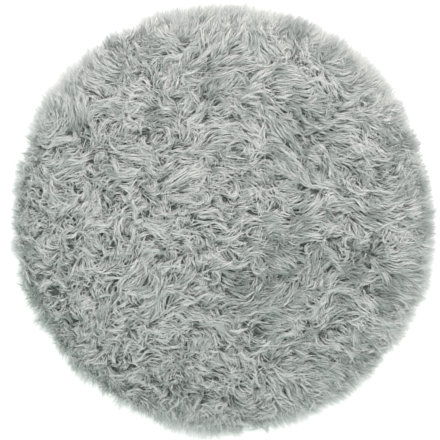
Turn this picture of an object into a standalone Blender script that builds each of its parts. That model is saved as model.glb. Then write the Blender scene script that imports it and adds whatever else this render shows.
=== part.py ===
"""A round shag rug: one panel of long-pile faux fur, lying flat on the floor.

The pile is one closed solid. Its top is a mat of overlapping lumps, each one a lock of pile that lies
along the nap. Its rim is two rows of tapered locks: the lower row rests on the floor, and the upper row
droops over it. Metres, with the rug's underside on z = 0 and its centre at the origin.
"""

import math
import random
from collections import namedtuple

import bmesh
import bpy

# Driving sizes, in metres.
ACROSS = 0.90  # the rug between opposite lock tips, on average
LOCK_REACH = 0.046  # how far a lower rim lock runs past the mat's wall
MAT_HEIGHT = 0.028  # the mat under its lumps, away from the rim
LUMP_HEIGHT = 0.016  # how far the highest lumps stand above the mat
LUMP_LENGTH = 0.090
LUMP_WIDTH = 0.050
LOWER_ROW_HEIGHT = 0.012  # the wall's lower row of lock roots
UPPER_ROW_HEIGHT = 0.012  # the wall's upper row of lock roots, on top of the lower

# Counts.
TOP_RINGS = 28  # ring number k of the mat's top has 6 k points
LOCKS_PER_ROW = 120
LUMPS = 270
SEED = 11

# The outline departs from a circle in a few low waves.
Wave = namedtuple("Wave", "times_round share crest_deg")
OUTLINE = (
    Wave(2, 0.0120, 105),
    Wave(3, 0.0035, 60),
    Wave(4, 0.0050, 50),
    Wave(5, 0.0070, 50),
    Wave(6, 0.0035, 45),
)

# Which way the tips of the pile point, place by place: millimetres from the centre, and degrees
# counter-clockwise from +X.
Nap = namedtuple("Nap", "x_mm y_mm points_deg")
NAP = (
    Nap(-240, 310, 175),
    Nap(-280, 210, 75),
    Nap(-130, 225, 345),
    Nap(-40, 270, 90),
    Nap(120, 280, 15),
    Nap(240, 280, 270),
    Nap(270, 240, 0),
    Nap(90, 130, 265),
    Nap(-50, 130, 12),
    Nap(0, 0, 0),
    Nap(130, 50, 0),
    Nap(-120, -110, 75),
    Nap(-10, -120, 50),
    Nap(130, -120, 290),
    Nap(-320, -10, 225),
    Nap(-220, 60, 35),
    Nap(-200, -60, 85),
    Nap(220, 80, 285),
    Nap(300, 120, 0),
    Nap(300, -20, 310),
    Nap(190, -90, 70),
    Nap(190, -170, 0),
    Nap(260, -250, 290),
    Nap(-240, -220, 10),
    Nap(-190, -290, 340),
    Nap(-50, -190, 5),
    Nap(-70, -270, 20),
    Nap(100, -280, 5),
    Nap(110, -360, 270),
)
NAP_REACH = 0.07  # how far one place's direction carries
RIM_BAND = 0.11  # the width of the band in which the pile turns outward
RIM_PULL = 3.0  # how strongly it does so, against the places above
RIM_LEAN = math.radians(14)  # how far the rim's locks lean from straight outward
RIM_LEAN_CREST = math.radians(315)  # where they lean furthest counter-clockwise

# How lumps differ: size and height as shares of the sizes above, and the crest's place along a lump.
LUMP_SIZES = (0.75, 1.2)
LUMP_HEIGHTS = (0.55, 1.0)
LUMP_SHIFT = 0.2  # how far a lump strays from its place, as a share of its width
LUMP_CREST = 0.72

# Shape of a rim lock, root to tip. The last section closes on a point.
Section = namedtuple("Section", "along width")
LOCK_SECTIONS = (Section(0.42, 0.84), Section(0.78, 0.52))
LOCK_SPREAD = 0.13  # how much locks differ in length
LOCK_WANDER = math.radians(3.5)  # how much neighbouring locks differ in lean
ROOT_SHIFT = 0.2  # how unevenly the roots divide the wall, as a share of an even root's width
UPPER_LOCK_SHARE = 0.86  # an upper lock's reach, as a share of a lower one's
LOCK_TIP_HEIGHT = 0.0035  # height of the lower locks where they end
ROW_GAP = 0.0018  # between the two rows of locks, away from the wall
UPPER_TIP_LIFT = 0.0015  # how far an upper lock's tip stands above its underside
UPPER_THINNING = 0.75  # how much of its thickness an upper lock loses towards its tip

WALL_TOP = LOWER_ROW_HEIGHT + UPPER_ROW_HEIGHT
PILE_COLOUR = (0.36, 0.385, 0.365, 1.0)
PILE_ROUGHNESS = 0.85


def outline_share(angle):
    """The outline's radius at an angle, as a share of its mean."""
    waves = (w.share * math.cos(w.times_round * (angle - math.radians(w.crest_deg))) for w in OUTLINE)
    return 1.0 + sum(waves)


def tip_radius(angle):
    return ACROSS / 2 * outline_share(angle)


def wall_radius(angle):
    return tip_radius(angle) - LOCK_REACH


def smooth(share):
    """An S-curve from 0 to 1, flat at both ends."""
    share = min(max(share, 0.0), 1.0)
    return share * share * (3 - 2 * share)


def rim_lean(angle):
    return RIM_LEAN * math.cos(angle - RIM_LEAN_CREST)


def nap_at(x, y):
    """Unit vector of the pile's lay at a place on the mat."""
    angle = math.atan2(y, x)
    inward = tip_radius(angle) - math.hypot(x, y)
    outward = angle + rim_lean(angle)
    rim = RIM_PULL * (1 - smooth(inward / RIM_BAND))
    across, up = rim * math.cos(outward), rim * math.sin(outward)
    for place in NAP:
        away = math.hypot(x - place.x_mm / 1000, y - place.y_mm / 1000) / NAP_REACH
        weight = math.exp(-away * away)
        across += weight * math.cos(math.radians(place.points_deg))
        up += weight * math.sin(math.radians(place.points_deg))
    length = math.hypot(across, up) or 1.0
    return across / length, up / length


Lump = namedtuple("Lump", "x y lay length width height")


def make_lumps(chance):
    """Lumps on a sunflower spiral, each lying along the nap."""
    golden_turn = math.pi * (3 - math.sqrt(5))
    lumps = []
    for i in range(LUMPS):
        angle = i * golden_turn
        radius = wall_radius(angle) * math.sqrt((i + 0.5) / LUMPS)
        x = radius * math.cos(angle) + chance.uniform(-LUMP_SHIFT, LUMP_SHIFT) * LUMP_WIDTH
        y = radius * math.sin(angle) + chance.uniform(-LUMP_SHIFT, LUMP_SHIFT) * LUMP_WIDTH
        size = chance.uniform(*LUMP_SIZES)
        lumps.append(
            Lump(
                x=x,
                y=y,
                lay=nap_at(x, y),
                length=LUMP_LENGTH * size,
                width=LUMP_WIDTH * size,
                height=LUMP_HEIGHT * chance.uniform(*LUMP_HEIGHTS),
            )
        )
    return lumps


def lump_height(lump, x, y):
    """A lump rises slowly from its root, is rounded across, and drops steeply at its tip."""
    across, up = lump.lay
    along = ((x - lump.x) * across + (y - lump.y) * up) / lump.length + 0.5
    aside = ((y - lump.y) * across - (x - lump.x) * up) / (lump.width / 2)
    if not 0 < along < 1 or abs(aside) >= 1:
        return 0.0
    if along < LUMP_CREST:
        rise = smooth(along / LUMP_CREST)
    else:
        rise = smooth((1 - along) / (1 - LUMP_CREST))
    return lump.height * rise * math.sqrt(1 - aside * aside)


def mat_height(x, y, lumps):
    """Height of the mat's top: level in the middle, with a shoulder down to the wall."""
    angle = math.atan2(y, x)
    inward = wall_radius(angle) - math.hypot(x, y)
    shoulder = smooth(inward / RIM_BAND)
    highest = max(lump_height(lump, x, y) for lump in lumps)
    return WALL_TOP + (MAT_HEIGHT - WALL_TOP) * shoulder + highest * smooth(inward / (RIM_BAND / 2))


def even_angles(count):
    return [2 * math.pi * i / count for i in range(count)]


def add_ring(bm, angles, place):
    """A closed ring of points, one for each angle."""
    return [bm.verts.new(place(angle)) for angle in angles]


def stitch(bm, inner, outer):
    """Triangles between two rings with any number of points, which start at the same angle."""
    i = j = 0
    while i < len(inner) or j < len(outer):
        near, far = inner[i % len(inner)], outer[j % len(outer)]
        if (j + 1) * len(inner) <= (i + 1) * len(outer):
            j += 1
            bm.faces.new((near, far, outer[j % len(outer)]))
        else:
            i += 1
            bm.faces.new((near, far, inner[i % len(inner)]))


def build_top(bm, lumps):
    """The mat's lumpy top, from its centre to its last ring."""
    ring = [bm.verts.new((0, 0, mat_height(0, 0, lumps)))]
    for k in range(1, TOP_RINGS + 1):

        def place(angle, share=k / (TOP_RINGS + 1)):
            x = wall_radius(angle) * share * math.cos(angle)
            y = wall_radius(angle) * share * math.sin(angle)
            return x, y, mat_height(x, y, lumps)

        outer = add_ring(bm, even_angles(6 * k), place)
        if len(ring) == 1:
            for a, b in zip(outer, outer[1:] + outer[:1]):
                bm.faces.new((ring[0], a, b))
        else:
            stitch(bm, ring, outer)
        ring = outer
    return ring


def wall_ring(bm, angles, height):
    """A ring of lock corners on the wall."""

    def place(angle):
        return wall_radius(angle) * math.cos(angle), wall_radius(angle) * math.sin(angle), height

    return add_ring(bm, angles, place)


def lower_ceiling(beyond):
    """Height that no lower lock passes, at a distance beyond the wall: a straight slope."""
    longest = LOCK_REACH * (1 + LOCK_SPREAD)
    return LOWER_ROW_HEIGHT + (LOCK_TIP_HEIGHT - LOWER_ROW_HEIGHT) * beyond / longest


def lower_heights(along, beyond):
    """Bottom and top of a lower lock's section, which lies on the floor and ends on it."""
    return 0.0, lower_ceiling(beyond) if along < 1 else 0.0


def upper_heights(along, beyond):
    """Bottom and top of an upper lock's section, which droops over the lower row."""
    bottom = lower_ceiling(beyond) + ROW_GAP
    if along == 1:
        return bottom, bottom + UPPER_TIP_LIFT
    return bottom, bottom + UPPER_ROW_HEIGHT * (1 - UPPER_THINNING * along)


def grow_lock(bm, corners, left, right, reach, lean, heights):
    """One tapered four-sided lock on four corners of the wall, which stand at two angles."""
    middle = (left + right) / 2
    wall = wall_radius(middle)
    section = corners
    for along, width in LOCK_SECTIONS:
        beyond = reach * along
        radius = wall + beyond
        aside = math.tan(lean) * beyond * along / radius
        sides = [middle + aside + (side - middle) * width for side in (left, right)]
        low, high = heights(along, beyond)
        outer = [
            bm.verts.new((radius * math.cos(side), radius * math.sin(side), height))
            for side, height in ((sides[0], low), (sides[1], low), (sides[1], high), (sides[0], high))
        ]
        for c in range(4):
            d = (c + 1) % 4
            bm.faces.new((section[c], section[d], outer[d], outer[c]))
        section = outer
    radius = wall + reach
    angle = middle + math.tan(lean) * reach / radius
    tip = bm.verts.new((radius * math.cos(angle), radius * math.sin(angle), heights(1, reach)[1]))
    for c in range(4):
        bm.faces.new((section[c], section[(c + 1) % 4], tip))


def grow_row(bm, low_ring, high_ring, angles, usual_reach, heights, chance):
    """A whole row of locks, one on each panel of the wall between two rings."""
    ends = angles[1:] + [angles[0] + 2 * math.pi]
    for i, (left, right) in enumerate(zip(angles, ends)):
        j = (i + 1) % LOCKS_PER_ROW
        corners = (low_ring[i], low_ring[j], high_ring[j], high_ring[i])
        reach = usual_reach * (1 + chance.uniform(-LOCK_SPREAD, LOCK_SPREAD))
        lean = rim_lean(left) + chance.uniform(-LOCK_WANDER, LOCK_WANDER)
        grow_lock(bm, corners, left, right, reach, lean, heights)


def build_underside(bm, ring):
    """The flat underside that lies on the floor."""
    centre = bm.verts.new((0, 0, 0))
    for a, b in zip(ring, ring[1:] + ring[:1]):
        bm.faces.new((centre, b, a))


def pile_material():
    material = bpy.data.materials.new("pale_grey_pile")
    material.use_nodes = True
    shader = material.node_tree.nodes["Principled BSDF"]
    shader.inputs["Base Color"].default_value = PILE_COLOUR
    shader.inputs["Roughness"].default_value = PILE_ROUGHNESS
    shader.inputs["Metallic"].default_value = 0.0
    return material


def build_rug():
    chance = random.Random(SEED)
    bm = bmesh.new()
    last_top_ring = build_top(bm, make_lumps(chance))
    shift = ROOT_SHIFT * 2 * math.pi / LOCKS_PER_ROW
    angles = [angle + chance.uniform(-shift, shift) for angle in even_angles(LOCKS_PER_ROW)]
    floor_ring = wall_ring(bm, angles, 0.0)
    middle_ring = wall_ring(bm, angles, LOWER_ROW_HEIGHT)
    high_ring = wall_ring(bm, angles, WALL_TOP)
    stitch(bm, last_top_ring, high_ring)
    grow_row(bm, floor_ring, middle_ring, angles, LOCK_REACH, lower_heights, chance)
    grow_row(bm, middle_ring, high_ring, angles, LOCK_REACH * UPPER_LOCK_SHARE, upper_heights, chance)
    build_underside(bm, floor_ring)
    bmesh.ops.recalc_face_normals(bm, faces=bm.faces)
    mesh = bpy.data.meshes.new("shag_pile")
    bm.to_mesh(mesh)
    bm.free()
    mesh.materials.append(pile_material())
    bpy.context.collection.objects.link(bpy.data.objects.new("shag_pile", mesh))


for old in list(bpy.data.objects):
    bpy.data.objects.remove(old, do_unlink=True)
build_rug()
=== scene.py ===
"""The look of the round shag rug: long faux-fur pile on a knitted ground cloth, seen from straight above.

The pile is grown in coats. A coat is hundreds or thousands of locks that are rooted on the ground cloth
and lie along the nap. Each lock is a few wisps side by side, and each wisp is two or three strands that run
close to its centreline. The strands follow the top of the CAD solid, and at the rim they run over its edge
and droop to the floor. Metres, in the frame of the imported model, with angles counter-clockwise from +X.
Functions of x and y take arrays of places, as seen from above, where they don't speak of one place.
"""

import math
from collections import namedtuple

import bmesh
import bpy
import numpy as np
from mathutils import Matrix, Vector
from mathutils.bvhtree import BVHTree


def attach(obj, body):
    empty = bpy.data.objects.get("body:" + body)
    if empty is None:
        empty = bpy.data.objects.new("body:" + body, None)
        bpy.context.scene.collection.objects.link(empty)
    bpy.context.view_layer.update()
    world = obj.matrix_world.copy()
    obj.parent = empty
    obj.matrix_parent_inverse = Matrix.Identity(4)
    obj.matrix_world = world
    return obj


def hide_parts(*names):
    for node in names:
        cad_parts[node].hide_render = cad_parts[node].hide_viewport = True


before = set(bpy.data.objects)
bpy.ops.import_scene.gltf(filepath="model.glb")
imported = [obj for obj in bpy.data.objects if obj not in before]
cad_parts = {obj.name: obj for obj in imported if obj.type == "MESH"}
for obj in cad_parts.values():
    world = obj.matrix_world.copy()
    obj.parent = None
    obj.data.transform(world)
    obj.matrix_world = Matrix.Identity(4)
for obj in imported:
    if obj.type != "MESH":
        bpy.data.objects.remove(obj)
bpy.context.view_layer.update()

BODY = "root"
NODE = "shag_pile"
SEED = 5
MOST_FACES = 195000  # triangles in one piece

# The ground cloth, and the bed of dense underfur on it. The top of either is a disc of circles of points.
CLOTH_RADIUS = 0.425
CLOTH_THICKNESS = 0.002
CLOTH_RINGS = 3
BED_INSET = 0.006  # how far the bed's edge lies inside the cloth's
BED_DEPTH = 0.013  # how far the bed's top lies below the solid's
BED_LEAST = 0.006  # the least height of its top
BED_UNDERSIDE = 0.0021  # just over the cloth
BED_RINGS = 60
DISC_SEGMENTS = 96  # points in a circle

# The rim, as in the solid: low waves on a circle, and locks that lean a little from straight outward.
Wave = namedtuple("Wave", "times_round share crest_deg")
ACROSS = 0.90  # from tip to tip
OUTLINE = (
    Wave(2, 0.0120, 105),
    Wave(3, 0.0035, 60),
    Wave(4, 0.0050, 50),
    Wave(5, 0.0070, 50),
    Wave(6, 0.0035, 45),
)
RIM_LEAN = math.radians(14)
RIM_LEAN_CREST = math.radians(315)

Coat = namedtuple(
    "Coat",
    [
        "name",
        "locks",  # how many are placed
        "inner", "outer",  # radii between which they are placed
        "length", "width",  # of a lock, least and most
        "back",  # share of its length by which a lock's roots lie behind its place
        "level",  # height over the top of the solid
        "lift",  # most extra height of a lock
        "stray", "curl",  # degrees: spread of a lock's first direction, and of its bend over its length
        "follow",  # how fast it turns to the nap
        "trim",  # how far its tips may reach, as a share of the rim's radius
        "uneven",  # how unevenly its wisps end there, and its locks where ruffled
        "rim_pull", "rim_band",  # how strongly the rim turns it outward, and from how far in
        "close",  # degrees by which its sides lean in
        "wisps", "wisp_width",
        "wisp_wander",  # degrees: spread of the wisps' first directions
        "tip_spread",  # width between the strands at a wisp's tip, as a share of its width
        "strands", "strand_width",
        "taper",  # share of its width that a strand loses to its tip
        "shortest",  # length of the shortest strand, as a share of its wisp's
        "rings",  # how many steps a strand takes from root to tip
        "taper_power",  # how late along its length a strand thins: 1 is evenly
        "small_turn",  # degrees of small swirls in the nap it follows
        "tuft",  # share by which ruffled locks are narrower
        "thin",  # share of the locks that is left out where ruffled
        "sag",  # how much lower ruffled locks lie
        "tone",  # how much paler (over 0) or darker than the rest
    ],
    defaults=(2.0, 0, 0, 0, 0, 0),
)
COATS = (
    # Short strands in every direction, just over the bed.
    Coat(
        name="undercoat",
        locks=2300, inner=0.0, outer=CLOTH_RADIUS, length=(0.026, 0.042), width=(0.012, 0.020), back=0.0,
        level=-0.006, lift=0.003, stray=110, curl=40, follow=0.0,
        trim=0.97, uneven=(0.020, 0.0), rim_pull=0.0, rim_band=0.06, close=6,
        wisps=5, wisp_width=0.0030, wisp_wander=15, tip_spread=1.0,
        strands=2, strand_width=0.0014, taper=0.90, shortest=0.80, rings=3,
    ),
    # Strands under the fringe, coloured dark as painted shade in its gaps, which gives it depth.
    Coat(
        name="under_fringe_painted_shade",
        locks=420, inner=0.405, outer=CLOTH_RADIUS, length=(0.038, 0.055), width=(0.016, 0.026), back=0.1,
        level=-0.014, lift=0.003, stray=14, curl=14, follow=1.5,
        trim=1.02, uneven=(0.020, 0.0), rim_pull=2.8, rim_band=0.14, close=0,
        wisps=6, wisp_width=0.0030, wisp_wander=14, tip_spread=1.2,
        strands=2, strand_width=0.0022, taper=0.80, shortest=0.70, rings=3,
        tone=-2.3,
    ),
    # The long pile that is seen.
    Coat(
        name="locks",
        locks=1960, inner=0.0, outer=0.45, length=(0.044, 0.076), width=(0.014, 0.024), back=0.4,
        level=-0.003, lift=0.009, stray=20, curl=25, follow=4.5,
        trim=1.045, uneven=(0.020, 0.05), rim_pull=1.3, rim_band=0.06, close=6,
        wisps=12, wisp_width=0.0016, wisp_wander=6, tip_spread=1.1,
        strands=3, strand_width=0.0007, taper=0.90, shortest=0.80, rings=5,
        small_turn=74, tuft=0.2,
    ),
    # Long locks that run out over the cloth's cut edge.
    Coat(
        name="fringe",
        locks=900, inner=0.390, outer=CLOTH_RADIUS, length=(0.078, 0.105), width=(0.024, 0.040), back=0.1,
        level=-0.008, lift=0.004, stray=10, curl=14, follow=1.5,
        trim=1.075, uneven=(0.026, 0.035), rim_pull=2.8, rim_band=0.14, close=-10,
        wisps=18, wisp_width=0.0030, wisp_wander=11, tip_spread=1.3,
        strands=2, strand_width=0.0010, taper=0.95, shortest=0.85, rings=4,
        taper_power=1.2, small_turn=20, tuft=0.4, thin=0.65, sag=0.008,
    ),
)

# How the locks, wisps and strands of any coat differ from each other.
LOCK_SCATTER = 0.007  # spread of a lock's place
WISP_SCATTER = 0.08  # spread of a wisp's place across its lock, whose sides are at -1 and 1
ROOT_SCATTER = 0.25  # most that a wisp's root strays along its lock, as a share of the lock's length
WISP_LENGTHS = (0.75, 1.15)  # shares of the lock's length
SHORTEST_TRIM = 0.2  # the least share of a wisp that trimming leaves
STRAND_SPACING = 0.6  # where a wisp's outer strands lie, if its sides are at -1 and 1
STRAND_SCATTER = 0.25  # spread of a strand's place there
ROOT_SPREAD = 1.2  # width between the strands at a wisp's root, as a share of its width
SPREAD_FROM = 0.25  # share of its length from which that width goes over to the tip's
STRAND_WIDTHS = (0.75, 1.25)  # shares of the coat's strand width
ROOT_WIDTH = 0.75  # a strand's width at its root, as a share of its width further on
ROOT_WIDENS = 0.25  # share of its length over which it widens
STRAND_ROLL = 25  # degrees: spread of a strand's roll about its length

# How wisps and strands bend on their way. Angles that end in DEG are in degrees, others in radians.
CLOSE_FROM = 0.2  # share of its length from which a lock's sides lean in
STEP_WANDER_DEG = 3  # spread of a wisp's turn at each step
SWAY_SHARE = 0.6  # how strongly a lock sways to both sides, as a share of its curl
SWAY_TURN = 5  # how far the sway's wave turns along a lock
SWAY_PACE = 3  # how strongly it bends a lock at each place
WAVE_SIZE = 0.0006  # how far a strand waves aside
WAVE_TURN = 6  # how far that wave turns along a strand
WAVE_STARTS = 6.28  # the range in which it starts

# Heights over the top of the solid, and at the end of the list over the floor.
DOME = 0.008  # how far a lock's middle stands over its sides
WISP_LIFT = 0.0013  # spread between wisps
STRAND_LIFT = 0.0006  # spread between strands
LIFT_ENDS = 0.05  # share of the lift's arch that is left out at either end
ROOT_SINK = 0.016  # how far a strand's root is sunk
ROOT_SHARE = 0.4  # share of its length over which a strand rises from its root
TIP_SINK = 0.009  # how far its tip is
TIP_SHARE = 0.4  # share of its length over which it sinks to its tip
LOWEST = 0.0014  # the least height of a strand's centreline
LOWEST_RANGE = 0.0006  # how much more than that the least height of some strands is
TOP_LIMIT = 0.052  # the greatest height of a centreline

# The lay of the pile. Away from the places in NAP it drifts towards +X, turned by smooth noise.
NAP_DRIFT = 0.30  # pull of the drift, where the pull in the middle of a place is 1
DRIFT_FLATTEN = 0.6  # its pull along Y, as a share of that along X
DRIFT_TURN_DEG = 60  # spread of the noise's turns
DRIFT_SPACING = 0.045  # across the noise's hills, here and below
SMALL_TURN_SPACING = 0.011
SMALL_TURN_LEAST = 0.2  # share of the small swirls that combed pile keeps
SMALL_TURN_PACE = 0.5  # how much of the way from its lock's place to its own a wisp feels them
LEAST_AGAINST = 0.06  # share of the locks that lie against the nap, away from the rim
MIX_START = 0.06  # distance from the rim within which all locks point outward
MIX_BAND = 0.16  # width of the band in which that fades
Nap = namedtuple("Nap", "x_mm y_mm reach_mm points_deg")
NAP = (
    Nap(-15, 370, 35, 65), Nap(70, 390, 30, 125), Nap(105, 355, 25, 150), Nap(-60, 400, 25, 75),
    Nap(-195, 305, 35, 172), Nap(-255, 295, 30, 155), Nap(-320, 255, 30, 125), Nap(-310, 210, 25, 97),
    Nap(-265, 180, 25, 95), Nap(-140, 222, 45, 178), Nap(-120, 285, 20, 70), Nap(-45, 245, 25, 100),
    Nap(5, 212, 30, 20), Nap(-90, 100, 50, 22), Nap(-15, 140, 35, 8), Nap(70, 307, 28, 35),
    Nap(140, 285, 35, 350), Nap(230, 275, 25, 280), Nap(240, 190, 30, 0), Nap(303, 180, 30, 295),
    Nap(60, 222, 30, 315), Nap(144, 190, 35, 320), Nap(105, 120, 30, 315), Nap(176, 105, 30, 310),
    Nap(187, 43, 28, 65), Nap(218, 127, 22, 280), Nap(60, 96, 22, 35), Nap(292, 32, 30, 320),
    Nap(366, 90, 25, 30), Nap(390, 60, 25, 70), Nap(350, 125, 22, 15), Nap(370, 10, 30, 355),
    Nap(145, -25, 30, 8), Nap(20, 0, 50, 352), Nap(-45, 43, 35, 350), Nap(355, -52, 35, 0),
    Nap(270, -60, 28, 0), Nap(144, -94, 25, 305), Nap(197, -115, 25, 88), Nap(260, -105, 25, 330),
    Nap(-195, -52, 25, 95), Nap(-150, -31, 22, 330), Nap(-88, -105, 35, 80), Nap(-165, -94, 28, 75),
    Nap(-225, 75, 30, 45), Nap(-305, 11, 35, 70), Nap(-225, 127, 30, 5), Nap(-385, -10, 30, 180),
    Nap(-172, -168, 30, 40), Nap(28, -168, 30, 3), Nap(-50, -189, 35, 5), Nap(102, -158, 28, 15),
    Nap(127, -196, 20, 330), Nap(218, -210, 25, 85), Nap(260, -231, 25, 300), Nap(330, -190, 40, 335),
    Nap(250, -284, 35, 0), Nap(81, -274, 35, 8), Nap(55, -231, 22, 30), Nap(125, -354, 30, 305),
    Nap(200, -326, 30, 335), Nap(40, -369, 35, 3), Nap(-150, -348, 35, 350), Nap(-119, -295, 25, 310),
    Nap(7, -274, 22, 330), Nap(-257, -210, 25, 95), Nap(-345, -200, 25, 185), Nap(-352, -165, 20, 225),
)

# How ruffled the pile is, from 0 for combed to 1: more towards one side, and in patches.
RUFFLE_MEAN = 0.37
RUFFLE_NOISE = 0.22  # spread of the noise in it
RUFFLE_SPACING = 0.050
RUFFLE_TILT = 0.35  # how much more there is at the rim on that side
RUFFLE_CREST = math.radians(225)
Patch = namedtuple("Patch", "x_mm y_mm reach_mm ruffled")
PATCHES = (
    Patch(250, -10, 35, 0.4), Patch(340, -55, 40, 0.5), Patch(400, -60, 30, 0.4),
    Patch(235, -142, 25, 0.4), Patch(-150, 215, 50, 0.3), Patch(-395, -20, 40, 0.3),
    Patch(-194, -356, 45, 0.4), Patch(-324, -249, 50, 0.4), Patch(0, -385, 50, 0.2),
    Patch(190, 150, 45, 0.3), Patch(0, 60, 40, 0.3), Patch(104, -107, 25, 0.3),
    Patch(10, 390, 60, -0.3), Patch(-305, 240, 50, -0.3), Patch(245, -105, 25, -0.3),
    Patch(300, -250, 60, -0.1), Patch(-40, -215, 50, -0.2), Patch(-60, 130, 30, -0.2),
    Patch(330, 290, 60, -0.2), Patch(80, 310, 45, 0.25), Patch(200, 320, 40, 0.3),
    Patch(215, 215, 45, 0.3), Patch(325, 235, 40, 0.3), Patch(285, 85, 45, 0.3),
    Patch(90, 225, 40, 0.25),
)

# What ruffling does to the locks: how much more they stray and curl, how much shorter they are, and how
# much less the rim turns them outward.
RUFFLE_STRAY = 1.3
RUFFLE_CURL = 1.5
RUFFLE_SHORT = 0.25
RUFFLE_LOOSE = 0.35

# Tone says how pale a strand is. Its spreads between locks, wisps and strands grow with ruffling, and a
# painted sheen, paler and darker, lies over the pile in large and small hills of noise.
LOCK_TONE = 0.74
WISP_TONE = 0.28
STRAND_TONE = 0.20
COMBED_CONTRAST = 0.4
RUFFLED_CONTRAST = 2.15
SHEEN_TONE = 0.45
SHEEN_SPACING = 0.050
SMALL_SHEEN_TONE = 0.45
SMALL_SHEEN_SPACING = 0.022
HIGH_SOFTEN = 0.48  # how much less the pale strands stand out than the dark ones
# Painted shade: ruffled pile is coloured darker near the rim.
RIM_PAINTED_SHADE = 0.7  # how much darker ruffled pile is at the rim
RIM_SHADE_BAND = 0.13  # width of the band in which that fades
# Painted light and shade: paler towards one side and darker towards the other, and in the broad places
# below, paler above 0 and darker below it.
SIDE_PAINTED_SHADING = 0.7  # how much paler the pile is towards one side
SIDE_CREST = math.radians(205)
Pale = namedtuple("Pale", "x_mm y_mm reach_mm paler")
PAINTED_SHADING_PLACES = (
    Pale(110, -130, 110, -1.0), Pale(-160, 170, 110, 0.5), Pale(-10, 70, 60, 0.7),
    Pale(60, -380, 70, 0.3), Pale(-300, -290, 70, -0.3), Pale(-390, 40, 50, 0.4),
    Pale(240, -330, 60, -0.5), Pale(-110, -130, 90, 0.3),
)

# Grids of values over the rug.
FIELD_STEP = 0.005
FIELD_REACH = 0.52  # half of a grid's side
FIELD_EDGE = 0.001  # how many steps inside a grid's last line the places past it are read
BLUR_SPACING = 2.5  # steps across the hills of noise that is blurred once
HEIGHT_BLURS = 3
RAY_START = 1.0  # height from which rays are cast down on the solid

# These keep divisions from being by 0.
LEAST_RADIUS = 1e-6
LEAST_REACH = 1e-4
LEAST_NORM = 1e-12

# The bake map gives each strand a strip of its own.
STRIP_SHAPE = 4  # how many times longer than wide a strip is
STRIP_ENDS = (0.06, 0.94)  # where the strand's root and its tip lie in it
STRIP_SIDES = (0.15, 0.85)  # where the strand's two edges lie in it

# Colours, as places on a ramp. A strand's go from its root to its tip, and its tint goes with its tone.
Stop = namedtuple("Stop", "place red green blue")
# Painted shade: darker and greener towards the root, deep in the pile.
STRAND_COLOURS_AND_ROOT_SHADE = (
    Stop(0.0, 0.223, 0.240, 0.231),
    Stop(0.35, 0.527, 0.534, 0.530),
    Stop(0.75, 0.672, 0.671, 0.672),
    Stop(1.0, 0.697, 0.693, 0.696),
)
# Painted shade colour: darker tones are tinted greener, paler ones plainer.
STRAND_SHADE_TINTS = (Stop(0.2, 0.92, 1.0, 0.965), Stop(0.7, 1.0, 0.988, 0.98))
TONE_REACH = 2.5  # tones beyond this, on either side of 0, look the same
DARKEST_SHARE = 0.55  # share of its colour that the darkest tone has
PALEST_SHARE = 1.35  # share that the palest tone has
PALENESS = 1.085  # of the whole pile
STRAND_ROUGHNESS = 0.65
STRAND_GLOSS = 0.2
# The bed's dark colours are painted shade deep in the pile.
BED_SHADE_COLOURS = (Stop(0.35, 0.06, 0.075, 0.065), Stop(0.7, 0.20, 0.225, 0.205))
CLOTH_COLOURS = (Stop(0.3, 0.5, 0.51, 0.5), Stop(0.7, 0.6, 0.61, 0.6))
CLOTH_ROUGHNESS = 0.9

# Stage, light and camera.
FLOOR_REACH = 6.0
FLOOR_COLOUR = (0.9, 0.9, 0.9, 1.0)
SKY_STRENGTH = 1.19
SKY_COLOUR = (0.908, 1.0, 0.962, 1.0)
KEY_PLACE = (0.5, 1.1, 1.35)
KEY_SIZE = 2.0
KEY_POWER = 27
KEY_COLOUR = (1.0, 0.80, 0.83)
LENS_MM = 85
SENSOR_MM = 36
VIEW_WIDTH = 0.9286  # what the picture shows across, at the height of the pile
VIEW_HEIGHT = 0.03
VIEW_CENTRE = (-0.0034, 0.0006)

rng = np.random.default_rng(SEED)


def smooth(share):
    """An S-curve from 0 to 1, flat at both ends."""
    share = np.clip(share, 0.0, 1.0)
    return share * share * (3 - 2 * share)


def normal(spread, count):
    """Random numbers, most of them near 0."""
    return rng.normal(0, spread, count)


class Field:
    """Values on a square grid round the centre, read between its points."""

    def __init__(self, values):
        self.values = values
        self.last = len(values) - 1

    def at(self, x, y):
        most = self.last - FIELD_EDGE
        u = np.clip((x / FIELD_REACH + 1) / 2 * self.last, 0, most)
        v = np.clip((y / FIELD_REACH + 1) / 2 * self.last, 0, most)
        i, j = u.astype(int), v.astype(int)
        right, up = u - i, v - j
        grid = self.values
        low = grid[i, j] * (1 - right) + grid[i + 1, j] * right
        high = grid[i, j + 1] * (1 - right) + grid[i + 1, j + 1] * right
        return low * (1 - up) + high * up


def blur(values, times):
    """A grid averaged with its neighbours, first along one axis and then along the other."""
    for _ in range(2 * times):
        padded = np.pad(values, ((1, 1), (0, 0)), mode="edge")
        values = ((padded[:-2] + 2 * values + padded[2:]) / 4).T
    return values


def grid_line():
    return np.linspace(-FIELD_REACH, FIELD_REACH, int(2 * FIELD_REACH / FIELD_STEP) + 1)


def noise_field(spacing):
    """Smooth noise of mean 0 and deviation 1, whose hills are about `spacing` across."""
    count = len(grid_line())
    times = max(1, int((spacing / FIELD_STEP / BLUR_SPACING) ** 2))
    values = blur(rng.normal(size=(count, count)), times)
    return Field((values - values.mean()) / values.std())


def height_field(node):
    """The top of the CAD solid, with its edge softened."""
    mesh = node.data
    tree = BVHTree.FromPolygons([v.co for v in mesh.vertices], [p.vertices for p in mesh.polygons])
    line = grid_line()
    values = np.zeros((len(line), len(line)))
    down = Vector((0, 0, -1))
    for i, x in enumerate(line):
        for j, y in enumerate(line):
            hit = tree.ray_cast(Vector((x, y, RAY_START)), down)[0]
            if hit is not None:
                values[i, j] = hit.z
    return Field(blur(values, HEIGHT_BLURS))


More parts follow.
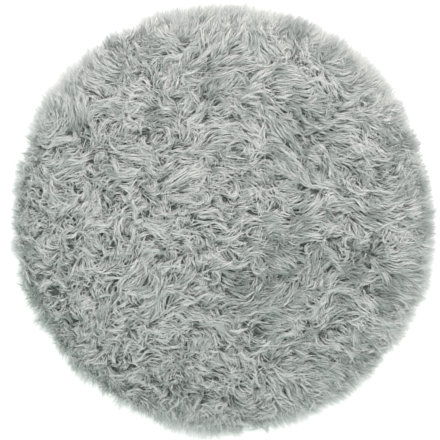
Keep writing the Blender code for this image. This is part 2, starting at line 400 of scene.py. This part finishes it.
TOP = height_field(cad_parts[NODE])
DRIFT_NOISE = noise_field(DRIFT_SPACING)
SMALL_TURN_NOISE = noise_field(SMALL_TURN_SPACING)
RUFFLE_HILLS = noise_field(RUFFLE_SPACING)
SHEEN = noise_field(SHEEN_SPACING)
SMALL_SHEEN = noise_field(SMALL_SHEEN_SPACING)


def rim_distance(x, y):
    """How far a place lies inside the rim, without the rim's waves."""
    return ACROSS / 2 - np.hypot(x, y)


def tip_radius(angle):
    """The rim's radius at an angle."""
    waves = (w.share * np.cos(w.times_round * (angle - math.radians(w.crest_deg))) for w in OUTLINE)
    return ACROSS / 2 * (1 + sum(waves))


def towards(crest, x, y):
    """How far a place lies towards one side, from -1 to 1 over the cloth."""
    return (x * math.cos(crest) + y * math.sin(crest)) / CLOTH_RADIUS


def nearness(place, x, y):
    """1 in the middle of a place of one of the tables, and less with the distance from it."""
    away = np.hypot(x - place.x_mm / 1000, y - place.y_mm / 1000) / (place.reach_mm / 1000)
    return np.exp(-away * away)


def ruffle(x, y):
    """How ruffled the pile is, from 0 to 1."""
    level = RUFFLE_MEAN + RUFFLE_NOISE * RUFFLE_HILLS.at(x, y) + RUFFLE_TILT * towards(RUFFLE_CREST, x, y)
    for patch in PATCHES:
        level = level + patch.ruffled * nearness(patch, x, y)
    return smooth(level)


def paler(x, y):
    """How much paler the pile is at a place, as painted light and shade: towards one side, and in broad
    places.
    """
    level = SIDE_PAINTED_SHADING * towards(SIDE_CREST, x, y)
    for place in PAINTED_SHADING_PLACES:
        level = level + place.paler * nearness(place, x, y)
    return level


def contrast(rough):
    """How much the tones of the strands differ."""
    return COMBED_CONTRAST + (RUFFLED_CONTRAST - COMBED_CONTRAST) * rough


def nap_vector(x, y):
    """Where the pile's tips point at a place away from the rim, as a vector."""
    loose = np.radians(DRIFT_TURN_DEG * DRIFT_NOISE.at(x, y))
    across, up = NAP_DRIFT * np.cos(loose), NAP_DRIFT * DRIFT_FLATTEN * np.sin(loose)
    for place in NAP:
        weight = nearness(place, x, y)
        across = across + weight * math.cos(math.radians(place.points_deg))
        up = up + weight * math.sin(math.radians(place.points_deg))
    return across, up


def nap_angle(coat, x, y, sense):
    """Angle in which a coat's tips point, for locks laid with the nap (1) or against it (-1)."""
    angle = np.arctan2(y, x)
    outward = angle + RIM_LEAN * np.cos(angle - RIM_LEAN_CREST)
    held = coat.rim_pull * (1 - RUFFLE_LOOSE * ruffle(x, y))
    rim = held * (1 - smooth(rim_distance(x, y) / coat.rim_band))
    across, up = nap_vector(x, y)
    return np.arctan2(sense * up + rim * np.sin(outward), sense * across + rim * np.cos(outward))


def small_turn(coat, x, y):
    """Angle by which small swirls turn a coat's tips aside."""
    rough = SMALL_TURN_LEAST + (1 - SMALL_TURN_LEAST) * ruffle(x, y)
    return np.radians(coat.small_turn * SMALL_TURN_NOISE.at(x, y)) * rough


def pick_sense(x, y):
    """With the nap or against it: a few locks at random, and near the rim whichever way points outward."""
    across, up = nap_vector(x, y)
    inward = across * x + up * y < 0
    near = 1 - smooth((rim_distance(x, y) - MIX_START) / MIX_BAND)
    against = np.where(inward, np.maximum(LEAST_AGAINST, near), LEAST_AGAINST * (1 - near))
    return np.where(rng.uniform(size=len(x)) < against, -1, 1)


def turn_towards(angle, goal, share):
    """An angle moved by a share of the way to another, the short way round."""
    return angle + share * np.arctan2(np.sin(goal - angle), np.cos(goal - angle))


def sunflower(count, inner, outer):
    """Places spread evenly between two radii, on a spiral."""
    number = np.arange(count)
    angle = number * math.pi * (3 - math.sqrt(5))
    radius = np.sqrt(inner ** 2 + (outer ** 2 - inner ** 2) * (number + 0.5) / count)
    return radius * np.cos(angle), radius * np.sin(angle)


# Columns of numbers, one for each lock, wisp or strand. A wisp's x, y and angle have one number for each
# station from its root to its tip, and so have a strand's points, width and along.
Locks = namedtuple("Locks", "x y rough sense lean length half_width curl sway sway_start lift")
Wisps = namedtuple("Wisps", "x y angle aside lift rough tone")
Strands = namedtuple("Strands", "points width tone along")


def picked(columns, rows):
    """The same columns with other rows: some of them, or all of them repeated."""
    return type(columns)(*(column[rows] for column in columns))


def grow_locks(coat):
    """A coat's locks: where they stand, which way they lie, and how they differ."""
    x, y = sunflower(coat.locks, coat.inner, coat.outer)
    x, y = x + normal(LOCK_SCATTER, coat.locks), y + normal(LOCK_SCATTER, coat.locks)
    kept = rng.uniform(size=coat.locks) > coat.thin * ruffle(x, y)
    x, y = x[kept], y[kept]
    count = len(x)
    rough = ruffle(x, y)
    sense = pick_sense(x, y)
    lean = nap_angle(coat, x, y, sense) + small_turn(coat, x, y)
    return Locks(
        x=x,
        y=y,
        rough=rough,
        sense=sense,
        lean=lean + normal(math.radians(coat.stray), count) * (1 + RUFFLE_STRAY * rough),
        length=rng.uniform(*coat.length, count) * (1 - RUFFLE_SHORT * rough),
        half_width=rng.uniform(*coat.width, count) / 2 * (1 - coat.tuft * rough),
        curl=normal(math.radians(coat.curl), count) * (1 + RUFFLE_CURL * rough),
        sway=normal(math.radians(coat.curl * SWAY_SHARE), count),
        sway_start=rng.uniform(0, 2 * math.pi, count),
        lift=rng.uniform(0, coat.lift, count),
    )


def root_places(lock, aside, start):
    """Where wisps are rooted: across their lock and along it, and on the cloth."""
    x = lock.x - np.sin(lock.lean) * aside * lock.half_width + np.cos(lock.lean) * start
    y = lock.y + np.cos(lock.lean) * aside * lock.half_width + np.sin(lock.lean) * start
    inside = np.minimum(1, CLOTH_RADIUS / np.maximum(np.hypot(x, y), LEAST_RADIUS))
    return x * inside, y * inside


def walk(coat, lock, aside, length, x, y, angle):
    """Stations of wisps from their roots: at each one they turn to the nap, bend and step on."""
    xs, ys, angles = [x], [y], [angle]
    for station in range(1, coat.rings + 1):
        t = station / coat.rings
        felt_x = lock.x + SMALL_TURN_PACE * (x - lock.x)
        felt_y = lock.y + SMALL_TURN_PACE * (y - lock.y)
        goal = nap_angle(coat, x, y, lock.sense) + small_turn(coat, felt_x, felt_y)
        angle = turn_towards(angle, goal, 1 - math.exp(-coat.follow / coat.rings))
        angle = angle + lock.curl / coat.rings - aside * math.radians(coat.close) * (t - CLOSE_FROM)
        swing = lock.sway * np.cos(lock.sway_start + SWAY_TURN * t)
        angle = angle + swing * SWAY_PACE / coat.rings + normal(math.radians(STEP_WANDER_DEG), len(x))
        x = x + np.cos(angle) * length / coat.rings
        y = y + np.sin(angle) * length / coat.rings
        xs.append(x)
        ys.append(y)
        angles.append(angle)
    return np.stack(xs, 1), np.stack(ys, 1), np.stack(angles, 1)


def trim(coat, xs, ys, rough, number):
    """Wisps that would pass the rim are drawn in towards their roots. Each has its lock's number."""
    x0, y0, x1, y1 = xs[:, :1], ys[:, :1], xs[:, -1:], ys[:, -1:]
    wisp_range, lock_range = coat.uneven
    lock_short = rough * rng.uniform(0, lock_range, len(rough))
    short = lock_short[number][:, None] + rng.uniform(0, wisp_range, x0.shape)
    most = coat.trim * tip_radius(np.arctan2(y1, x1)) - short
    root, tip = np.hypot(x0, y0), np.hypot(x1, y1)
    share = np.clip((most - root) / np.maximum(tip - root, LEAST_REACH), SHORTEST_TRIM, 1)
    share = np.where(tip > most, share, 1)
    return x0 + (xs - x0) * share, y0 + (ys - y0) * share


def wisp_tone(coat, locks, number, tip_x, tip_y):
    """How pale each wisp is: by chance, by painted shade and light at its lock's place, and by the painted
    sheen where its tip lies.
    """
    shade = RIM_PAINTED_SHADE * locks.rough * (1 - smooth(rim_distance(locks.x, locks.y) / RIM_SHADE_BAND))
    shade = shade - paler(locks.x, locks.y)
    chance = LOCK_TONE * normal(1, len(locks.x))[number] + WISP_TONE * normal(1, len(number))
    own = coat.tone + contrast(locks.rough[number]) * chance - shade[number]
    return own + SHEEN_TONE * SHEEN.at(tip_x, tip_y) + SMALL_SHEEN_TONE * SMALL_SHEEN.at(tip_x, tip_y)


def grow_wisps(coat):
    """A coat's wisps, side by side in its locks."""
    locks = grow_locks(coat)
    lock_count = len(locks.x)
    number = np.repeat(np.arange(lock_count), coat.wisps)
    lock = picked(locks, number)
    count = len(number)
    even = (np.arange(coat.wisps) + 0.5) / coat.wisps * 2 - 1
    aside = np.tile(even, lock_count) + normal(WISP_SCATTER, count)
    start = (rng.uniform(-ROOT_SCATTER, ROOT_SCATTER, count) - coat.back) * lock.length
    length = lock.length * rng.uniform(*WISP_LENGTHS, count)
    x, y = root_places(lock, aside, start)
    angle = lock.lean + normal(math.radians(coat.wisp_wander), count)
    xs, ys, angles = walk(coat, lock, aside, length, x, y, angle)
    tip_x, tip_y = xs[:, -1], ys[:, -1]
    xs, ys = trim(coat, xs, ys, locks.rough, number)
    return Wisps(
        x=xs,
        y=ys,
        angle=angles,
        aside=aside,
        lift=lock.lift - coat.sag * lock.rough + normal(WISP_LIFT, count) * contrast(lock.rough),
        rough=lock.rough,
        tone=wisp_tone(coat, locks, number, tip_x, tip_y),
    )


def strand_plan(coat, wisp, t):
    """Where strands run, seen from above: beside their wisp's centreline, and not always to its tip."""
    count = len(wisp.aside)
    even = np.tile(np.linspace(-1, 1, coat.strands), count // coat.strands)
    beside = even * STRAND_SPACING + normal(STRAND_SCATTER, count)
    tip_part = smooth((t - SPREAD_FROM) / (1 - SPREAD_FROM))
    spread = (coat.wisp_width / 2) * (ROOT_SPREAD + (coat.tip_spread - ROOT_SPREAD) * tip_part)
    wave = WAVE_SIZE * np.sin(t * WAVE_TURN + rng.uniform(0, WAVE_STARTS, (count, 1)))
    off = beside[:, None] * spread + wave
    reach = rng.uniform(coat.shortest, 1, (count, 1))
    x0, y0 = wisp.x[:, :1], wisp.y[:, :1]
    x = x0 + (wisp.x - x0) * reach - np.sin(wisp.angle) * off
    y = y0 + (wisp.y - y0) * reach + np.cos(wisp.angle) * off
    return x, y


def strand_heights(coat, wisp, t, x, y):
    """Heights of strands: over the solid's top, domed across their lock, and sunk at root and tip."""
    count = len(wisp.aside)
    dome = DOME * (1 - np.minimum(1, wisp.aside ** 2))[:, None] * np.sin(np.pi * t)
    tip_part = smooth((t - (1 - TIP_SHARE)) / TIP_SHARE)
    sink = ROOT_SINK * (1 - smooth(t / ROOT_SHARE)) + TIP_SINK * tip_part
    lift = wisp.lift[:, None] * np.sin(np.pi * (t * (1 - 2 * LIFT_ENDS) + LIFT_ENDS))
    z = TOP.at(x, y) + coat.level + dome + lift + normal(STRAND_LIFT, (count, 1)) - sink
    return np.clip(z, LOWEST + LOWEST_RANGE * rng.uniform(0, 1, (count, 1)), TOP_LIMIT)


def strand_widths(coat, t, count):
    """Widths of strands: a little narrower at the root, and tapered to the tip."""
    own = coat.strand_width * rng.uniform(*STRAND_WIDTHS, (count, 1))
    root = ROOT_WIDTH + (1 - ROOT_WIDTH) * smooth(t / ROOT_WIDENS)
    return own * root * (1 - coat.taper * t ** coat.taper_power)


def grow_strands(coat):
    """A coat's strands, side by side in its wisps."""
    wisps = grow_wisps(coat)
    wisp = picked(wisps, np.repeat(np.arange(len(wisps.aside)), coat.strands))
    count = len(wisp.aside)
    t = np.linspace(0, 1, coat.rings + 1)[None, :]
    x, y = strand_plan(coat, wisp, t)
    z = strand_heights(coat, wisp, t, x, y)
    width = strand_widths(coat, t, count)
    tone = wisp.tone + STRAND_TONE * normal(1, count) * contrast(wisp.rough)
    tone = tone - HIGH_SOFTEN * tone ** 2
    return Strands(points=np.stack([x, y, z], 2), width=width, tone=tone, along=np.repeat(t, count, 0))


def unit(vectors):
    """The same directions, with a length of 1."""
    return vectors / (np.linalg.norm(vectors, axis=-1, keepdims=True) + LEAST_NORM)


def ribbon_edges(points, width):
    """The two edges of each ribbon, with the ribbon rolled a little about its length."""
    tangent = unit(np.gradient(points, axis=1))
    side = unit(np.stack([-tangent[..., 1], tangent[..., 0], np.zeros(points.shape[:2])], 2))
    up = np.cross(tangent, side)
    roll = normal(math.radians(STRAND_ROLL), (len(points), 1))
    across = (width / 2 * np.cos(roll))[..., None] * side + (width / 2 * np.sin(roll))[..., None] * up
    return np.stack([points - across, points + across], 2)


def ribbon_faces(count, rings):
    """Corners of all ribbons' faces: a band of quads from the root, and a triangle at the tip."""
    quads = np.array([(k, k + 1, k + 3, k + 2) for k in range(0, 2 * (rings - 1), 2)])
    tips = np.array([(2 * rings - 2, 2 * rings - 1, 2 * rings)])
    first = (np.arange(count) * (2 * rings + 1))[:, None, None]
    return (quads + first).reshape(-1, 4), (tips + first).reshape(-1, 3)


def fill_mesh(mesh, points, quads, triangles):
    """Points and faces go into the mesh. Returns the corners of its faces, one after another."""
    corners = np.concatenate([quads.ravel(), triangles.ravel()])
    starts = np.concatenate([np.arange(len(quads)) * 4, quads.size + np.arange(len(triangles)) * 3])
    mesh.vertices.add(len(points))
    mesh.vertices.foreach_set("co", points.astype(np.float32).ravel())
    mesh.loops.add(len(corners))
    mesh.loops.foreach_set("vertex_index", corners.astype(np.int32))
    mesh.polygons.add(len(starts))
    mesh.polygons.foreach_set("loop_start", starts.astype(np.int32))
    mesh.update(calc_edges=True)
    mesh.shade_smooth()
    return corners


def lay_strips(mesh, corners, count, rings):
    """The bake map, with the strands' strips in columns and rows."""
    columns = math.ceil(math.sqrt(count * STRIP_SHAPE))
    rows = math.ceil(count / columns)
    along = np.repeat(np.linspace(*STRIP_ENDS, rings + 1), 2)[:-1]
    aside = np.append(np.tile(STRIP_SIDES, rings), 0.5)
    number = np.arange(count)[:, None]
    strips = np.stack([(number % columns + aside) / columns, (number // columns + along) / rows], 2)
    layer = mesh.uv_layers.new(name="OFBake")
    layer.data.foreach_set("uv", strips.reshape(-1, 2)[corners].astype(np.float32).ravel())


def write_facts(mesh, strands, rings):
    """What the pile's material reads at each point: its place along its strand, and the strand's tone."""
    along = np.concatenate([np.repeat(strands.along[:, :rings], 2, 1), strands.along[:, -1:]], 1)
    facts = {"along": along.ravel(), "tone": np.repeat(strands.tone, 2 * rings + 1)}
    for name, values in facts.items():
        layer = mesh.attributes.new(name, "FLOAT", "POINT")
        layer.data.foreach_set("value", values.astype(np.float32))


def add_object(name, mesh):
    thing = bpy.data.objects.new(name, mesh)
    bpy.context.scene.collection.objects.link(thing)
    return thing


def strand_piece(name, strands):
    """One piece of tapered ribbons, each of which ends on a point."""
    count, rings = len(strands.points), strands.points.shape[1] - 1
    edges = ribbon_edges(strands.points, strands.width)[:, :rings].reshape(count, 2 * rings, 3)
    points = np.concatenate([edges, strands.points[:, -1:]], 1).reshape(-1, 3)
    mesh = bpy.data.meshes.new(name)
    corners = fill_mesh(mesh, points, *ribbon_faces(count, rings))
    lay_strips(mesh, corners, count, rings)
    write_facts(mesh, strands, rings)
    return add_object(name, mesh)


def disc_piece(name, rings, radius, top, underside):
    """A closed round sheet with a flat underside. Its top has the height top(x, y) at one place."""
    bm = bmesh.new()
    angles = [2 * math.pi * i / DISC_SEGMENTS for i in range(DISC_SEGMENTS)]
    centre = bm.verts.new((0, 0, top(0, 0)))
    circles = []
    for k in range(1, rings + 1):
        places = [(radius * k / rings * math.cos(a), radius * k / rings * math.sin(a)) for a in angles]
        circles.append([bm.verts.new((x, y, top(x, y))) for x, y in places])
    low = [bm.verts.new((v.co.x, v.co.y, underside)) for v in circles[-1]]
    low_centre = bm.verts.new((0, 0, underside))
    for i in range(DISC_SEGMENTS):
        j = (i + 1) % DISC_SEGMENTS
        bm.faces.new((centre, circles[0][i], circles[0][j]))
        for near, far in zip(circles, circles[1:] + [low]):
            bm.faces.new((near[i], far[i], far[j], near[j]))
        bm.faces.new((low[i], low_centre, low[j]))
    bmesh.ops.recalc_face_normals(bm, faces=bm.faces)
    mesh = bpy.data.meshes.new(name)
    bm.to_mesh(mesh)
    bm.free()
    mesh.shade_smooth()
    return add_object(name, mesh)


def new_material(name, roughness):
    material = bpy.data.materials.new(name)
    material.use_nodes = True
    tree = material.node_tree
    shader = tree.nodes["Principled BSDF"]
    shader.inputs["Roughness"].default_value = roughness
    return material, tree, shader


def ramp(tree, source, stops):
    node = tree.nodes.new("ShaderNodeValToRGB")
    while len(node.color_ramp.elements) < len(stops):
        node.color_ramp.elements.new(0.5)
    for element, stop in zip(node.color_ramp.elements, stops):
        element.position = stop.place
        element.color = (stop.red, stop.green, stop.blue, 1)
    tree.links.new(source, node.inputs["Fac"])
    return node.outputs["Color"]


def fact(tree, name):
    """A number that the pile's pieces keep at each point."""
    node = tree.nodes.new("ShaderNodeAttribute")
    node.attribute_name = name
    return node.outputs["Fac"]


def tone_share(tree):
    """The strand's tone, from 0 for the darkest to 1 for the palest."""
    node = tree.nodes.new("ShaderNodeMapRange")
    node.inputs["From Min"].default_value = -TONE_REACH
    node.inputs["From Max"].default_value = TONE_REACH
    tree.links.new(fact(tree, "tone"), node.inputs["Value"])
    return node.outputs["Result"]


def pile_material():
    """Darker at the root than at the tip, as painted shade, and darker and greener or paler and plainer with
    the tone, its green painted as shade.
    """
    material, tree, shader = new_material("faux_fur_pile", STRAND_ROUGHNESS)
    share = tone_share(tree)
    strength = tree.nodes.new("ShaderNodeMapRange")
    strength.inputs["To Min"].default_value = DARKEST_SHARE * PALENESS
    strength.inputs["To Max"].default_value = PALEST_SHARE * PALENESS
    tree.links.new(share, strength.inputs["Value"])
    tinted = tree.nodes.new("ShaderNodeVectorMath")
    tinted.operation = "MULTIPLY"
    tree.links.new(ramp(tree, fact(tree, "along"), STRAND_COLOURS_AND_ROOT_SHADE), tinted.inputs[0])
    tree.links.new(ramp(tree, share, STRAND_SHADE_TINTS), tinted.inputs[1])
    scaled = tree.nodes.new("ShaderNodeVectorMath")
    scaled.operation = "SCALE"
    tree.links.new(tinted.outputs["Vector"], scaled.inputs[0])
    tree.links.new(strength.outputs["Result"], scaled.inputs["Scale"])
    tree.links.new(scaled.outputs["Vector"], shader.inputs["Base Color"])
    shader.inputs["Specular IOR Level"].default_value = STRAND_GLOSS
    return material


def mottled_material(name, scale, detail, stops):
    """A matt material whose colour changes with fine noise."""
    material, tree, shader = new_material(name, CLOTH_ROUGHNESS)
    noise = tree.nodes.new("ShaderNodeTexNoise")
    noise.inputs["Scale"].default_value = scale
    noise.inputs["Detail"].default_value = detail
    tree.links.new(ramp(tree, noise.outputs["Fac"], stops), shader.inputs["Base Color"])
    return material


def dress(piece, material):
    """A piece of the pile gets its material, and takes the solid's place."""
    piece.data.materials.append(material)
    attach(piece, BODY)
    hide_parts(NODE)


def build_coat(coat, material):
    """A coat's strands, in as many pieces as its triangles need, from the middle outward."""
    strands = grow_strands(coat)
    faces = len(strands.tone) * (2 * coat.rings - 1)
    pieces = math.ceil(faces / MOST_FACES)
    roots = strands.points[:, 0]
    order = np.argsort(np.hypot(roots[:, 0], roots[:, 1]))
    for number, part in enumerate(np.array_split(order, pieces)):
        name = f"{coat.name}_{number + 1}" if pieces > 1 else coat.name
        dress(strand_piece(name, picked(strands, part)), material)


def build_pile():
    material = pile_material()
    for coat in COATS:
        build_coat(coat, material)


def bed_top(x, y):
    """Height of the bed's top at one place."""
    return max(BED_LEAST, float(TOP.at(np.float64(x), np.float64(y))) - BED_DEPTH)


def build_bed():
    """The dense underfur, coloured dark as painted shade in the gaps between locks."""
    bed = disc_piece("underfur", BED_RINGS, CLOTH_RADIUS - BED_INSET, bed_top, BED_UNDERSIDE)
    dress(bed, mottled_material("underfur", scale=220, detail=4, stops=BED_SHADE_COLOURS))


def build_cloth():
    """The knitted ground cloth, cut round and laid flat."""
    cloth = disc_piece("ground_cloth", CLOTH_RINGS, CLOTH_RADIUS, lambda x, y: CLOTH_THICKNESS, 0.0)
    cloth.data.materials.append(mottled_material("knitted_ground", scale=400, detail=2, stops=CLOTH_COLOURS))
    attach(cloth, BODY)
    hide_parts(NODE)


def build_stage():
    mesh = bpy.data.meshes.new("floor")
    corners = [(-1, -1), (1, -1), (1, 1), (-1, 1)]
    mesh.from_pydata([(FLOOR_REACH * x, FLOOR_REACH * y, 0) for x, y in corners], [], [(0, 1, 2, 3)])
    material, _, shader = new_material("pale_floor", roughness=1.0)
    shader.inputs["Base Color"].default_value = FLOOR_COLOUR
    shader.inputs["Specular IOR Level"].default_value = 0.0
    mesh.materials.append(material)
    add_object("floor", mesh)


def build_lights():
    """A soft sky all round, and one large soft lamp beyond the rug's top."""
    world = bpy.data.worlds.new("studio")
    world.use_nodes = True
    world.node_tree.nodes["Background"].inputs["Color"].default_value = SKY_COLOUR
    world.node_tree.nodes["Background"].inputs["Strength"].default_value = SKY_STRENGTH
    bpy.context.scene.world = world
    lamp = bpy.data.lights.new("key", "AREA")
    lamp.shape = "DISK"
    lamp.size = KEY_SIZE
    lamp.energy = KEY_POWER
    lamp.color = KEY_COLOUR
    key = add_object("key", lamp)
    key.location = KEY_PLACE
    key.rotation_mode = "QUATERNION"
    key.rotation_quaternion = (-Vector(KEY_PLACE)).to_track_quat("-Z", "Y")
    bpy.context.scene.view_settings.view_transform = "Standard"


def build_camera():
    """Straight above, so that the picture shows VIEW_WIDTH across at the height of the pile."""
    lens = bpy.data.cameras.new("camera")
    lens.lens = LENS_MM
    lens.sensor_width = SENSOR_MM
    camera = add_object("camera", lens)
    camera.location = (*VIEW_CENTRE, VIEW_WIDTH / SENSOR_MM * LENS_MM + VIEW_HEIGHT)
    bpy.context.scene.camera = camera


build_camera()
build_lights()
build_stage()
build_cloth()
build_bed()
build_pile()
bpy.context.view_layer.update()
